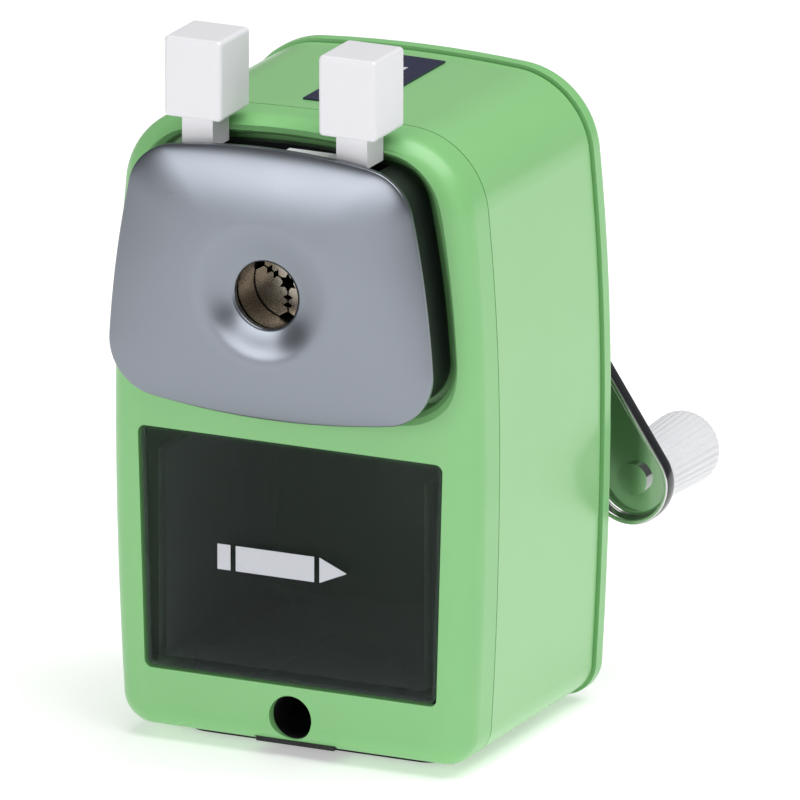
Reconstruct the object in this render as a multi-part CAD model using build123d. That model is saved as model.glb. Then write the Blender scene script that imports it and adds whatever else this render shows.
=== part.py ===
from build123d import *
import os
from math import atan2, cos, degrees, pi, radians, sin, sqrt, tan

# Desk pencil sharpener with a rear crank, a pull-out chuck and a shavings drawer.
# Millimetres. X to the right seen from the front, Y to the rear, Z up.
# The origin is on the table, under the middle of the body.

# ---- casing ----
half_width = 35.55  # at the waist, the widest height
waist_z = 57.8
base_z = 2.0  # underside of the casing above the table
crown_z = 115.5  # top of the casing on the centre line
low_side_radius = 820.0  # slow curve of the sides below the waist
high_side_radius = 430.0  # and above it
crown_radius = 250.0
bottom_corner = 6.0
top_corner = 15.0
body_front = -28.0
body_rear = 28.0
fascia_depth = 10.0
front_round = 5.0
sheet = 1.0  # painted steel wrap and base plate
wall = 1.8  # moulded fascia and rear cover
seam = 0.25  # open line between fascia and wrap
groove = 0.6  # wider open line in front of the rear cover
rim_proud = 0.6  # the rear cover stands this far outside the wrap
rim_depth = 4.0
tongue_gap = 0.1
tongue = 1.5
tongue_reach = 5.0
flange_x = 24.0  # the wrap's inturned bottom flanges end here
foot_width = 4.5
foot_half_x = 25.5
foot_front = -19.0
foot_rear = 20.0

# ---- label on the roof ----
label_t = 0.35
label_x = 1.5
label_half = 6.1
label_front = -13.0
label_rear = 19.0

# ---- long screws that pull fascia and rear cover together ----
post_r = 2.2
post_places = [(-29.0, 11.0), (29.0, 11.0), (-22.0, 106.0), (22.0, 106.0)]
post_joint_y = -14.0
long_screw_r = 1.15
long_head_r = 2.7
long_head_h = 1.6
pan_head_r = 2.3
pan_head_h = 1.5
thread_fit = 0.02  # a thread's solid is smaller than its hole's by this

# ---- clamp socket under the drawer ----
clamp_r = 4.0
clamp_lead = 0.1  # the fascia's hole is wider than the socket's bore by this
clamp_z = 7.7
clamp_depth = 27.0
socket_half_x = 7.5
socket_wall = 1.5
socket_ear_x = 15.0
socket_ear_y = -4.0
socket_ear_half = 5.0
socket_screw_x = 12.0
socket_gap = 0.1  # between the socket and the fascia
ear_h = 2.2

# ---- shavings drawer ----
drawer_top_z = 57.0
drawer_low_z = 14.0
drawer_top_half = 28.9
drawer_low_half = 27.7
drawer_corner = 0.9
drawer_gap = 0.5
drawer_front_t = 2.0
bin_half = 26.4
bin_wall = 1.5
bin_top_z = 53.0
bin_rear = 20.0
rail_t = 1.5
rail_gap = 0.2

# ---- axis of the pencil, the chuck, the cutter carrier and the crank ----
axis_z = 87.0
pencil_bore = 4.25

# ---- chuck ----
plate_rim_y = -36.0  # front of the faceplate's rim
plate_t = 1.0
dome_height = 4.6
dome_radius = 115.0
dome_flank = 52.0  # degrees from the Y axis
plate_top_z = 113.0
plate_low_z = 64.1
plate_top_half = 25.6
plate_mid_half = 29.7
plate_low_half = 31.3
plate_top_radius = 125.0
plate_low_radius = 150.0
plate_corner = 9.5
funnel_r = 13.5
nose_r = 6.45
sleeve_t = 1.0
chuck_inset = 1.5  # the chuck housing is this much smaller than the faceplate
chuck_wall = 1.5
chuck_rear = -25.0
pocket_gap = 1.0  # between the chuck housing and its pocket in the fascia
pocket_floor_y = -24.0
pocket_lip = 3.0  # radius of the pocket's rounded lip, made of narrow flats
lip_flats = 3
rod_x = 24.5
rod_r = 1.75
rod_rear = 21.5
rod_bush_gap = 0.15
rod_bush_r = 2.6
rod_screw_head_r = 2.1
rod_screw_head_h = 1.3
chuck_screw_places = [(-20.8, 71.6), (20.8, 71.6), (-20.2, 101.5), (20.2, 101.5)]
boss_r = 2.6

# ---- jaws and pinch levers ----
jaw_opening = 0.9  # inscribed radius between the closed jaws
jaw_travel = 3.4
jaw_t = 1.9
jaw_half = 4.45
jaw_tip_half = 1.25
jaw_end_r = 17.0
tooth_deep = 0.85
tooth_half = 0.95
jaw_slack = 0.3
jaw_pin_at = 14.5
jaw_pin_r = 1.2
slot_gap = 0.25
pinch = 9.0  # degrees that each lever turns
lever_t = 1.5
lever_step = 0.2  # air between stacked plates
lever_disc_r = 15.3
lever_lobe = 1.4
button_x = 14.8
button_w = 11.0
button_d = 11.9
button_z = 116.5
button_h = 14.4
stem_w = 5.9
stem_z = 111.0
stem_front = -33.9
stem_rear = -27.4
arm_half = 2.0
arm_top_z = 122.0
tab_z = 106.0  # the lever spring's height, under the chuck's roof
tab_half = 1.2

# ---- mechanism bracket ----
bracket_front = -16.0
bracket_t = 1.6
bracket_half = 29.0
bracket_low_z = 60.0
bracket_top_z = 103.0
bracket_screw_places = [(-20.5, 73.0), (20.5, 73.0), (-20.5, 99.5), (20.5, 99.5)]

# ---- planetary cutter: its axis leans to the pencil's cone ----
cone_half_angle = 10.8
tip_y = 16.0  # the sharpened point
cutter_r = 6.5
cutter_front_y = -2.65
cutter_length = 21.0
cutter_teeth = 12
cutter_tooth_h = 0.9
cutter_twist = 60.0
cutter_pin_r = 1.6
running_gap = 0.15
pinion_teeth = 12
ring_teeth = 36
pinion_mid_y = -7.46
pinion_face = 4.0
gear_addendum = 0.75  # in modules
gear_dedendum = 1.15
gear_backlash = 0.36
ring_outer_r = 20.8
ring_screw_r = 0.8
ring_screw_head_r = 1.5
ring_screw_head_h = 1.2
ring_rear = -3.4
journal_r = 7.5
carrier_disc_r = 14.9
carrier_disc_front = -12.9
carrier_disc_t = 2.0
cradle_r = 5.5
cradle_outer_r = 9.5
rear_disc_front = 19.6
rear_disc_t = 2.6

# ---- crank ----
shaft_r = 3.0
shaft_rear = 39.6
arm_angle = -52.4
arm_length = 60.4
arm_front = 32.0
arm_rear = 36.0
arm_sheet = 1.0
arm_hub_r = 12.0
arm_knob_r = 7.8
knob_r = 6.75
knob_neck_r = 5.2
knob_front = 36.4
knob_rear = 58.0
knob_flutes = 28
knob_flute_r = 0.42
knob_round = 4.5
knob_floor = 5.0  # the rivet's head sits this deep in the knob's end
rivet_r = 2.0
rivet_head_r = 2.9

# ---- worked out ----
beta = radians(cone_half_angle)
apex_y = tip_y + cutter_r / sin(beta)  # where the cutter's axis meets the pencil's
cutter_front_s = (apex_y - cutter_front_y) / cos(beta)  # along the cutter's axis from the apex
pinion_mid_s = (apex_y - pinion_mid_y) / cos(beta)
tooth_ratio = ring_teeth / pinion_teeth
pinion_cone = degrees(atan2(sin(beta), tooth_ratio - cos(beta)))
ring_cone = pinion_cone + cone_half_angle
module = 2 * pinion_mid_s * tan(radians(pinion_cone)) / pinion_teeth
bracket_rear = bracket_front + bracket_t
chuck_floor_front = chuck_rear - chuck_wall
jaw_rear = chuck_floor_front - lever_step
jaw_front = jaw_rear - jaw_t
left_plate_rear = jaw_front - 2 * lever_step
right_plate_rear = left_plate_rear - lever_t - lever_step
right_plate_front = right_plate_rear - lever_t
drawer_bottom = drawer_low_z
knob_x = arm_length * cos(radians(arm_angle))
knob_z = axis_z + arm_length * sin(radians(arm_angle))


# ================= helpers =================
def prism(outline, y0, y1):
    """An outline drawn as (X, Z), carried from Y = y0 to Y = y1."""
    plane = Plane(origin=(0, y1, 0), x_dir=(1, 0, 0), z_dir=(0, -1, 0))
    return extrude(plane * outline, amount=y1 - y0, dir=(0, -1, 0))


def block(x0, x1, y0, y1, z0, z1):
    size = (x1 - x0, y1 - y0, z1 - z0)
    return Pos((x0 + x1) / 2, (y0 + y1) / 2, (z0 + z1) / 2) * Box(*size)


def disc(r, x, z, y0, y1):
    return prism(Pos(x, z) * Circle(r), y0, y1)


def tube(r_in, r_out, x, z, y0, y1):
    return disc(r_out, x, z, y0, y1) - disc(r_in, x, z, y0 - 1, y1 + 1)


def upright(r, x, y, z0, z1):
    return Pos(x, y, (z0 + z1) / 2) * Cylinder(r, z1 - z0)


def polygon(points):
    return make_face(Polyline(*points, close=True))


def turned(points, x=0, z=axis_z):
    """A profile of (radius, Y) points turned about the Y axis through (x, z)."""
    face = make_face(Polyline(*[(r, y, 0) for r, y in points], close=True))
    return Pos(x, 0, z) * revolve(face, Axis.Y, 360)


def on_axis(x, z):
    return Pos(x, z)


# ================= outlines =================
def side_x(z):
    r = low_side_radius if z < waist_z else high_side_radius
    return half_width - r + sqrt(r * r - (z - waist_z) ** 2)


def crown_at(x):
    return crown_z - crown_radius + sqrt(crown_radius**2 - x * x)


def body_outline(grow=0.0):
    """The casing's cross-section: slightly barrelled sides under a shallow crown."""
    corner_x = half_width
    for _ in range(8):
        corner_z = crown_at(corner_x)
        corner_x = side_x(corner_z)
    foot_x = side_x(base_z)
    mid_low = (base_z + waist_z) / 2
    mid_high = (waist_z + corner_z) / 2
    edges = [Line((-foot_x, base_z), (foot_x, base_z))]
    for s in (1, -1):
        low = (s * foot_x, base_z), (s * side_x(mid_low), mid_low), (s * half_width, waist_z)
        high = low[2], (s * side_x(mid_high), mid_high), (s * corner_x, corner_z)
        edges += [ThreePointArc(*low), ThreePointArc(*high)]
    edges += [ThreePointArc((corner_x, corner_z), (0, crown_z), (-corner_x, corner_z))]
    outline = make_face(edges)
    outline = fillet(outline.vertices().sort_by(Axis.Y)[:2], bottom_corner)
    outline = fillet(outline.vertices().sort_by(Axis.Y)[-2:], top_corner)
    return offset(outline, grow) if grow else outline


def plate_outline(grow=0.0):
    """The faceplate: narrower at the top, its four edges gently bowed, each part of a circle."""
    top_z = plate_top_z - plate_top_half**2 / (2 * plate_top_radius)
    low_z = plate_low_z + plate_low_half**2 / (2 * plate_low_radius)
    middle = (plate_mid_half, (top_z + low_z) / 2)
    side = ThreePointArc((plate_top_half, top_z), middle, (plate_low_half, low_z))
    face = Pos(0, plate_top_z - plate_top_radius) * Circle(plate_top_radius + grow)
    face &= Pos(0, plate_low_z + plate_low_radius) * Circle(plate_low_radius + grow)
    for s in (-1, 1):
        centre = Pos(s * side.arc_center.X, side.arc_center.Y)
        face &= centre * Rot(0, 0, 90) * Circle(side.radius + grow)
    return fillet(face.vertices(), plate_corner + grow)


def drawer_outline(grow=0.0):
    top, low = drawer_top_half, drawer_low_half
    corners = [(-low, drawer_low_z), (low, drawer_low_z), (top, drawer_top_z), (-top, drawer_top_z)]
    outline = polygon(corners)
    outline = fillet(outline.vertices(), drawer_corner)
    return offset(outline, grow) if grow else outline


def chuck_outline(grow=0.0):
    return plate_outline(grow - chuck_inset)


# ================= casing =================
def screw(x, z, y_head, y_tip, r, head_r, head_h):
    """A screw along Y whose head starts at y_head and whose shank ends at y_tip."""
    way = 1 if y_tip > y_head else -1
    y_seat = y_head + way * head_h
    head = disc(head_r, x, z, min(y_head, y_seat), max(y_head, y_seat))
    shank = disc(r, x, z, min(y_seat, y_tip), max(y_seat, y_tip))
    drive = disc(head_r * 0.45, x, z, *sorted((y_head - way, y_head + way * head_h * 0.5)))
    return head + shank - drive


def body_tongue(y0, y1):
    """The ring that reaches under the wrap from the fascia or the rear cover."""
    outer = -(sheet + tongue_gap)
    ring = body_outline(outer) - body_outline(outer - tongue)
    return prism(ring, y0, y1)


def lip_cut(lean):
    """One flat of the rounded lip round the chuck's pocket, at a tangent to the round."""
    out = pocket_lip * (1 - (1 - sin(lean)) / cos(lean))
    deep = pocket_lip * (1 - (1 - cos(lean)) / sin(lean))
    front = Plane(origin=(0, body_front, 0), x_dir=(1, 0, 0), z_dir=(0, -1, 0))
    mouth = front * chuck_outline(pocket_gap + out).face()
    return loft([mouth, front.offset(-deep) * chuck_outline(pocket_gap).face()], ruled=True)


def front_fascia():
    seam_y = body_front + fascia_depth
    solid = prism(body_outline(), body_front, seam_y)
    front_edges = solid.faces().sort_by(Axis.Y)[0].edges()
    solid = fillet(front_edges, front_round)
    solid -= prism(body_outline(-wall), body_front + wall, seam_y + 1)
    solid += body_tongue(seam_y - 2.0, seam_y + tongue_reach)
    pocket = chuck_outline(pocket_gap)
    cup = prism(chuck_outline(pocket_gap + wall), body_front + wall / 2, pocket_floor_y + wall)
    solid += cup & prism(body_outline(-wall / 2), body_front, seam_y)
    solid -= prism(pocket, body_front - 1, pocket_floor_y)
    for k in range(1, lip_flats + 1):
        solid -= lip_cut(radians(90 * k / (lip_flats + 1)))
    solid -= prism(drawer_outline(drawer_gap), body_front - 1, body_front + wall + 0.5)
    solid -= disc(clamp_r + clamp_lead, 0, clamp_z, body_front - 1, body_front + wall + 1)
    half = socket_half_x + 0.3
    socket_y = body_front + wall
    solid -= block(-half, half, socket_y, seam_y + tongue_reach + 1, base_z - 1, clamp_z)
    solid -= disc(journal_r + 0.1, 0, axis_z, pocket_floor_y - 1, pocket_floor_y + wall + 1)
    for s in (-1, 1):
        solid -= disc(rod_r + 0.5, s * rod_x, axis_z, pocket_floor_y - 1, pocket_floor_y + wall + 1)
    for x, z in bracket_screw_places:
        solid += disc(post_r + 0.6, x, z, pocket_floor_y + wall - 0.5, bracket_front)
        solid -= disc(long_screw_r, x, z, pocket_floor_y + wall, bracket_front + 1)
    for x, z in post_places:
        start = pocket_floor_y + wall if z > axis_z else body_front + wall
        solid += disc(post_r, x, z, start - 0.5, post_joint_y)
        solid -= disc(long_screw_r, x, z, start + 1.0, post_joint_y + 1)
    for x, y in base_screw_places():
        if y < 0:
            solid += upright(post_r + 0.4, x, y, base_z + sheet + 1.0, base_z + sheet + 6.0)
            solid -= upright(long_screw_r, x, y, base_z, base_z + sheet + 5.0)
    return solid


def base_screw_places():
    front = body_front + fascia_depth + tongue_reach / 2
    rear = body_rear - rim_depth - tongue_reach / 2
    return [(s * 19.0, y) for s in (-1, 1) for y in (front, rear)]


def side_wrap():
    y0 = body_front + fascia_depth + seam
    y1 = body_rear - rim_depth - groove
    ring = prism(body_outline() - body_outline(-sheet), y0, y1)
    return ring - block(-flange_x, flange_x, y0 - 1, y1 + 1, base_z - 1, base_z + 2 * sheet)


def rear_cover():
    y0 = body_rear - rim_depth
    solid = prism(body_outline(rim_proud), y0, body_rear)
    rear_edges = solid.faces().sort_by(Axis.Y)[-1].edges()
    solid = fillet(rear_edges, rim_depth / 2)
    solid -= prism(body_outline(-wall), y0 - 1, body_rear - wall)
    solid += body_tongue(y0 - tongue_reach, y0 + 1.0)
    for x, z in post_places:
        solid += disc(post_r, x, z, post_joint_y + 0.2, body_rear - wall / 2)
        solid += disc(long_head_r + 1.2, x, z, body_rear - 2 * wall - 1, body_rear - wall / 2)
    solid &= prism(body_outline(rim_proud), -100, body_rear)
    for x, z in post_places:
        solid -= disc(long_screw_r + 0.2, x, z, post_joint_y - 1, body_rear + 1)
        solid -= disc(long_head_r + 0.2, x, z, body_rear - long_head_h, body_rear + 1)
    for x, y in base_screw_places():
        if y > 0:
            solid += upright(post_r + 0.4, x, y, base_z + sheet + 1.0, base_z + sheet + 6.0)
            solid -= upright(long_screw_r, x, y, base_z, base_z + sheet + 5.0)
    return solid - disc(5.05, 0, axis_z, body_rear - wall - 5, body_rear + 1)


def rear_cover_screws():
    head_y = body_rear - 0.1
    tip_y = post_joint_y - 5.0
    r = long_screw_r - thread_fit
    return [screw(x, z, head_y, tip_y, r, long_head_r, long_head_h - 0.1) for x, z in post_places]


def base_plate():
    y0 = body_front + fascia_depth + seam
    y1 = body_rear - rim_depth - groove
    plate = block(-flange_x + seam, flange_x - seam, y0, y1, base_z, base_z + sheet)
    notch = socket_half_x + 0.2
    socket_rear = socket_front() + clamp_depth + 3.2
    plate -= block(-notch, notch, y0 - 1, socket_rear, base_z - 1, base_z + 2 * sheet)
    for x, y in base_screw_places():
        plate -= upright(long_screw_r + 0.2, x, y, base_z - 1, base_z + 2 * sheet)
        plate -= upright(2.2, x, y, base_z - 1, base_z + 0.6)
    for s in (-1, 1):
        plate -= upright(long_screw_r, s * socket_screw_x, socket_ear_y, base_z - 1, base_z + 2 * sheet)
    return plate


def base_screws():
    screws = []
    for x, y in base_screw_places():
        head = upright(2.1, x, y, base_z + 0.05, base_z + 0.6)
        screws += [head + upright(long_screw_r - thread_fit, x, y, base_z + 0.6, base_z + sheet + 4.5)]
    return screws


def foot_ring():
    depth = foot_rear - foot_front
    mid = (foot_rear + foot_front) / 2
    outer = RectangleRounded(2 * foot_half_x, depth, 5.0)
    inner = RectangleRounded(2 * (foot_half_x - foot_width), depth - 2 * foot_width, 2.0)
    return Pos(0, mid, 0) * extrude(outer - inner, amount=base_z)


def top_label():
    band = prism(body_outline(label_t) - body_outline(), label_front, label_rear)
    left, right = label_x - label_half, label_x + label_half
    return band & block(left, right, label_front, label_rear, axis_z, crown_z + 5)


# ================= clamp socket =================
def socket_front():
    return body_front + wall + socket_gap


def clamp_socket():
    y0 = socket_front()
    y1 = y0 + clamp_depth + 3.0
    top = clamp_z + clamp_r + 0.9
    solid = block(-socket_half_x, socket_half_x, y0, y1, clamp_z - clamp_r - socket_wall, top)
    ear_z = base_z + sheet
    y_ear = socket_ear_y - socket_ear_half
    solid += block(-socket_ear_x, socket_ear_x, y_ear, socket_ear_y + socket_ear_half, ear_z, ear_z + ear_h)
    solid -= disc(clamp_r, 0, clamp_z, y0 - 1, y0 + clamp_depth)
    for s in (-1, 1):
        solid -= upright(long_screw_r, s * socket_screw_x, socket_ear_y, 0, top)
    return solid


def clamp_socket_screws():
    top = base_z + sheet + ear_h
    screws = []
    for s in (-1, 1):
        shank = upright(long_screw_r - thread_fit, s * socket_screw_x, socket_ear_y, base_z, top)
        head = upright(pan_head_r, s * socket_screw_x, socket_ear_y, top, top + pan_head_h)
        screws += [shank + head]
    return screws


# ================= shavings drawer =================
def shavings_drawer():
    front = prism(drawer_outline(), body_front, body_front + drawer_front_t)
    front_edges = front.faces().sort_by(Axis.Y)[0].edges()
    front = fillet(front_edges, 0.5)
    y0 = body_front + drawer_front_t
    half = bin_half
    box = block(-half, half, y0 - 0.5, bin_rear, drawer_bottom, bin_top_z)
    hollow = half - bin_wall
    floor_z = drawer_bottom + bin_wall
    box -= block(-hollow, hollow, y0, bin_rear - bin_wall, floor_z, bin_top_z + 1)
    return front + box


def drawer_rails():
    top = drawer_bottom - rail_gap
    y0 = body_front + fascia_depth + tongue_reach + 0.3
    y1 = body_rear - rim_depth - tongue_reach - 0.3
    rails = []
    for s in (-1, 1):
        inner, outer = sorted((s * (bin_half - 4.4), s * (bin_half - 0.4)))
        web = sorted((s * (bin_half - 0.4 - rail_t), s * (bin_half - 0.4)))
        rail = block(inner, outer, y0, y1, top - rail_t, top)
        rails += [rail + block(*web, y0, y1, base_z + sheet, top)]
    return rails


# ================= mechanism bracket =================
def mechanism_bracket():
    half, mid_z = bracket_half, (bracket_low_z + bracket_top_z) / 2
    sheet_face = Pos(0, mid_z) * RectangleRounded(2 * half, bracket_top_z - bracket_low_z, 4.0)
    plate = prism(sheet_face, bracket_front, bracket_rear)
    plate -= disc(carrier_bush_r(), 0, axis_z, bracket_front - 1, bracket_rear + 1)
    for s in (-1, 1):
        plate -= disc(rod_bush_r, s * rod_x, axis_z, bracket_front - 1, bracket_rear + 1)
    for x, z in bracket_screw_places:
        plate -= disc(long_screw_r + 0.2, x, z, bracket_front - 1, bracket_rear + 1)
    for x, z in ring_screw_places():
        plate -= disc(ring_screw_r + 0.2, x, z, bracket_front - 1, bracket_rear + 1)
    return plate


def bracket_screws():
    head_y = bracket_rear + pan_head_h
    tip_y = bracket_front - 4.0
    r = long_screw_r - thread_fit
    return [screw(x, z, head_y, tip_y, r, pan_head_r, pan_head_h) for x, z in bracket_screw_places]


def ring_screw_places():
    r = ring_outer_r - 1.4
    return [(r * cos(radians(a)), axis_z + r * sin(radians(a))) for a in (45, 135, 225, 315)]


def ring_gear_screws():
    head_y = bracket_front - ring_screw_head_h
    tip_y = bracket_rear + 4.0
    r = ring_screw_r - thread_fit
    places = ring_screw_places()
    return [screw(x, z, head_y, tip_y, r, ring_screw_head_r, ring_screw_head_h) for x, z in places]


def carrier_bush_r():
    return journal_r + running_gap + 1.5


def carrier_bush():
    y0 = bracket_front - 1.4
    bush = tube(journal_r + running_gap, carrier_bush_r(), 0, axis_z, y0, bracket_rear)
    return bush + tube(journal_r + running_gap, carrier_bush_r() + 1.5, 0, axis_z, y0, bracket_front)


def pencil_guide():
    rear = pocket_floor_y + wall
    guide = disc(journal_r, 0, axis_z, pocket_floor_y - 0.2, bracket_front - 2.3)
    guide += disc(11.0, 0, axis_z, rear, rear + 1.6)
    return guide - disc(pencil_bore, 0, axis_z, pocket_floor_y - 2, bracket_front)


def rod_bushes():
    r_in = rod_r + rod_bush_gap
    bushes = []
    for s in (-1, 1):
        bush = tube(r_in, rod_bush_r, s * rod_x, axis_z, bracket_front, bracket_rear + 2.7)
        bushes += [bush + tube(r_in, 4.0, s * rod_x, axis_z, bracket_front - 3.5, bracket_front)]
    return bushes


def shaft_bush():
    r_in = shaft_r + running_gap
    bush = tube(r_in, 5.0, 0, axis_z, body_rear - wall, body_rear + 1.4)
    return bush + tube(r_in, 7.0, 0, axis_z, body_rear - wall - 1.2, body_rear - wall)


# ================= planetary cutter =================
def gear_outline(teeth, m, tip, root, thickness):
    """A plain straight-flanked gear outline; tip and root are radii, thickness is at the pitch circle."""
    pitch_r = m * teeth / 2
    points = []
    for k in range(teeth):
        middle = 2 * pi * k / teeth
        for r, side in ((root, -1), (tip, -1), (tip, 1), (root, 1)):
            lean = tan(radians(20)) * (r - pitch_r) * (-1 if tip > root else 1)
            half = (thickness / 2 + lean) / r
            points += [(r * cos(middle + side * half), r * sin(middle + side * half))]
    return points


def toward_apex(points, s, s_ref):
    """The same outline at distance s from the gears' apex, where it is s / s_ref times the size."""
    k = s / s_ref
    return [(x * k, y * k) for x, y in points]


def cutter_frame():
    """A plane at the gears' apex whose Z axis runs forward along the cutter's axis."""
    way = (0, -cos(beta), sin(beta))
    return Plane(origin=(0, apex_y, axis_z), x_dir=(1, 0, 0), z_dir=way)


def lofted(sections):
    """A ruled solid through outlines given as (distance from the apex, points)."""
    wires = []
    for s, points in sections:
        wires += [Wire.make_polygon([Vector(x, y, s) for x, y in points], close=True)]
    return Solid.make_loft(wires, ruled=True)


def pinion_outline():
    r = module * pinion_teeth / 2
    tip = r + gear_addendum * module
    root = r - gear_dedendum * module
    points = gear_outline(pinion_teeth, module, tip, root, pi * module / 2 - gear_backlash)
    return [(y, x) for x, y in reversed(points)]


def cutter_pinion():
    points = pinion_outline()
    near = pinion_mid_s - pinion_face / 2
    far = pinion_mid_s + pinion_face / 2
    gear = lofted([(s, toward_apex(points, s, pinion_mid_s)) for s in (near, far)])
    bore = Pos(0, 0, pinion_mid_s) * Cylinder(cutter_pin_r + running_gap, 2 * pinion_face)
    return cutter_frame().location * (Part() + gear - bore)


def helical_cutter():
    """A milled steel roll: straight-sided teeth on a slow helix, with a neck that meets the pinion."""
    steps = 6
    root_r = cutter_r - cutter_tooth_h
    sections = []
    for i in range(steps + 1):
        turn = radians(cutter_twist * i / steps)
        points = []
        for k in range(cutter_teeth):
            start = turn + 2 * pi * k / cutter_teeth
            for r, at in ((cutter_r, 0.0), (cutter_r, 0.18), (root_r, 0.42), (root_r, 0.9)):
                angle = start + at * 2 * pi / cutter_teeth
                points += [(r * cos(angle), r * sin(angle))]
        sections += [(cutter_front_s - cutter_length * i / steps, points)]
    roll = Part() + lofted(sections)
    neck_end = pinion_mid_s - pinion_face / 2
    neck = neck_end - cutter_front_s + 1.0
    roll += Pos(0, 0, neck_end - neck / 2) * Cylinder(4.0, neck)
    roll -= Pos(0, 0, cutter_front_s) * Cylinder(cutter_pin_r + running_gap, 3 * cutter_length)
    return cutter_frame().location * roll


def cutter_pin_shape(r):
    front_s = (apex_y - carrier_disc_front) / cos(beta)
    rear_s = (apex_y - rear_disc_front - rear_disc_t) / cos(beta)
    rod = Pos(0, 0, (front_s + rear_s) / 2) * Cylinder(r, front_s - rear_s + 4)
    ends = block(-20, 20, carrier_disc_front, rear_disc_front + rear_disc_t, axis_z - 30, axis_z + 30)
    return (cutter_frame().location * rod) & ends


def cutter_pin():
    return cutter_pin_shape(cutter_pin_r)


def ring_gear():
    apex_to_mid = pinion_mid_s / cos(radians(pinion_cone)) * cos(radians(ring_cone))
    r = module * ring_teeth / 2
    tip = r - gear_addendum * module
    root = r + gear_dedendum * module
    points = gear_outline(ring_teeth, module, tip, root, pi * module / 2 - gear_backlash)
    c, s = cos(pi / ring_teeth), sin(pi / ring_teeth)
    points = [(x * c - y * s, x * s + y * c) for x, y in points]
    solid = tube(root * 1.06, ring_outer_r, 0, axis_z, bracket_rear, ring_rear)
    face_front = apex_to_mid + pinion_face / 2 + 0.6
    face_rear = apex_y - ring_rear
    rim = disc(ring_outer_r - 0.5, 0, axis_z, apex_y - face_front, apex_y - face_rear)
    reaches = (face_rear - 1, face_front + 1)
    void = lofted([(reach, toward_apex(points, reach, apex_to_mid)) for reach in reaches])
    frame = Plane(origin=(0, apex_y, axis_z), x_dir=(1, 0, 0), z_dir=(0, -1, 0))
    solid += rim - frame.location * (Part() + void)
    for x, z in ring_screw_places():
        solid -= disc(ring_screw_r, x, z, bracket_rear - 1, bracket_rear + 4.5)
    return solid


def cutter_carrier():
    """A hollow front journal, a half-round cradle beside the pencil and a rear disc on the crank shaft."""
    front = disc(journal_r, 0, axis_z, bracket_front - 2.1, carrier_disc_front)
    disc_rear = carrier_disc_front + carrier_disc_t
    front += disc(carrier_disc_r, 0, axis_z, carrier_disc_front, disc_rear)
    front -= disc(pencil_bore + 0.35, 0, axis_z, bracket_front - 5, disc_rear + 1)
    cradle = tube(cradle_r, cradle_outer_r, 0, axis_z, disc_rear - 0.5, rear_disc_front + 0.5)
    cradle &= block(-20, 20, disc_rear - 1, rear_disc_front + 1, axis_z - 20, axis_z - 0.4)
    rear = disc(cradle_outer_r, 0, axis_z, rear_disc_front, rear_disc_front + rear_disc_t)
    rear += disc(5.0, 0, axis_z, rear_disc_front, body_rear - wall - 1.5)
    solid = front + cradle + rear
    solid -= disc(shaft_r, 0, axis_z, rear_disc_front, body_rear)
    return solid - cutter_pin_shape(cutter_pin_r)


# ================= chuck =================
def pillow(y_front, inset):
    """The faceplate's domed volume: flanks that lean in from the rim under a shallow sphere."""
    rise = dome_height + 0.5
    rear = Plane(origin=(0, y_front + dome_height, 0), x_dir=(1, 0, 0), z_dir=(0, -1, 0))
    rim = rear * plate_outline(-inset).face()
    crest = rear.offset(rise) * plate_outline(-inset - rise * tan(radians(dome_flank))).face()
    flanks = loft([rim, crest], ruled=True)
    return flanks & (Pos(0, y_front + dome_radius, axis_z) * Sphere(dome_radius))


def chuck_faceplate():
    dome_y = plate_rim_y - dome_height
    rim = prism(plate_outline(), plate_rim_y, plate_rim_y + plate_t)
    shell = rim + pillow(dome_y, 0.6)
    shell -= pillow(dome_y + plate_t, 1.4)
    shell -= disc(funnel_r, 0, axis_z, dome_y - 1, plate_rim_y + plate_t + 1)
    mouth_y = dome_y + funnel_r**2 / (2 * dome_radius)
    funnel = [
        (funnel_r, mouth_y),
        (nose_r, plate_rim_y - 0.3),
        (nose_r, plate_rim_y + plate_t - 0.3),
        (funnel_r, mouth_y + plate_t + 0.3),
    ]
    return shell + turned(funnel)


def nose_sleeve():
    outer = nose_r + sleeve_t
    plate_rear = plate_rim_y + plate_t
    sleeve = tube(nose_r, outer, 0, axis_z, plate_rear, left_plate_rear)
    return sleeve + tube(nose_r, outer + 3.0, 0, axis_z, plate_rear + 0.2, right_plate_front - lever_step)


def jaw_slot(grow):
    half = jaw_half + grow
    return Pos(15, 0) * Rectangle(36, 2 * half)


def jaw_angles():
    return (90, 210, 330)


def chuck_housing():
    front = plate_rim_y + plate_t
    solid = prism(chuck_outline(), front, chuck_rear)
    solid -= prism(chuck_outline(-chuck_wall), front - 1, chuck_floor_front)
    for x, z in chuck_screw_places:
        solid += disc(boss_r, x, z, front, chuck_floor_front + 0.5)
        solid -= disc(1.1, x, z, front + 1.5, chuck_rear + 1)
        solid -= disc(2.3, x, z, chuck_rear - 1.1, chuck_rear + 1)
    pads = Circle(jaw_end_r)
    for angle in jaw_angles():
        pads -= Rot(0, 0, angle) * jaw_slot(jaw_slack / 2)
    solid += prism(on_axis(0, axis_z) * pads, jaw_front - lever_step, chuck_floor_front + 0.5)
    solid -= disc(nose_r, 0, axis_z, front, chuck_rear + 1)
    slot_half = button_x + stem_w / 2 + 1.0
    solid -= block(-slot_half, slot_half, stem_front - 1, stem_rear + 0.4, plate_top_z - 6, plate_top_z + 2)
    for s in (-1, 1):
        solid -= disc(rod_r, s * rod_x, axis_z, front, chuck_rear + 1)
    return solid


def chuck_screws():
    tip_at = plate_rim_y + plate_t + 2.0
    return [screw(x, z, chuck_rear - 0.1, tip_at, 1.08, 2.2, 1.0) for x, z in chuck_screw_places]


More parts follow.
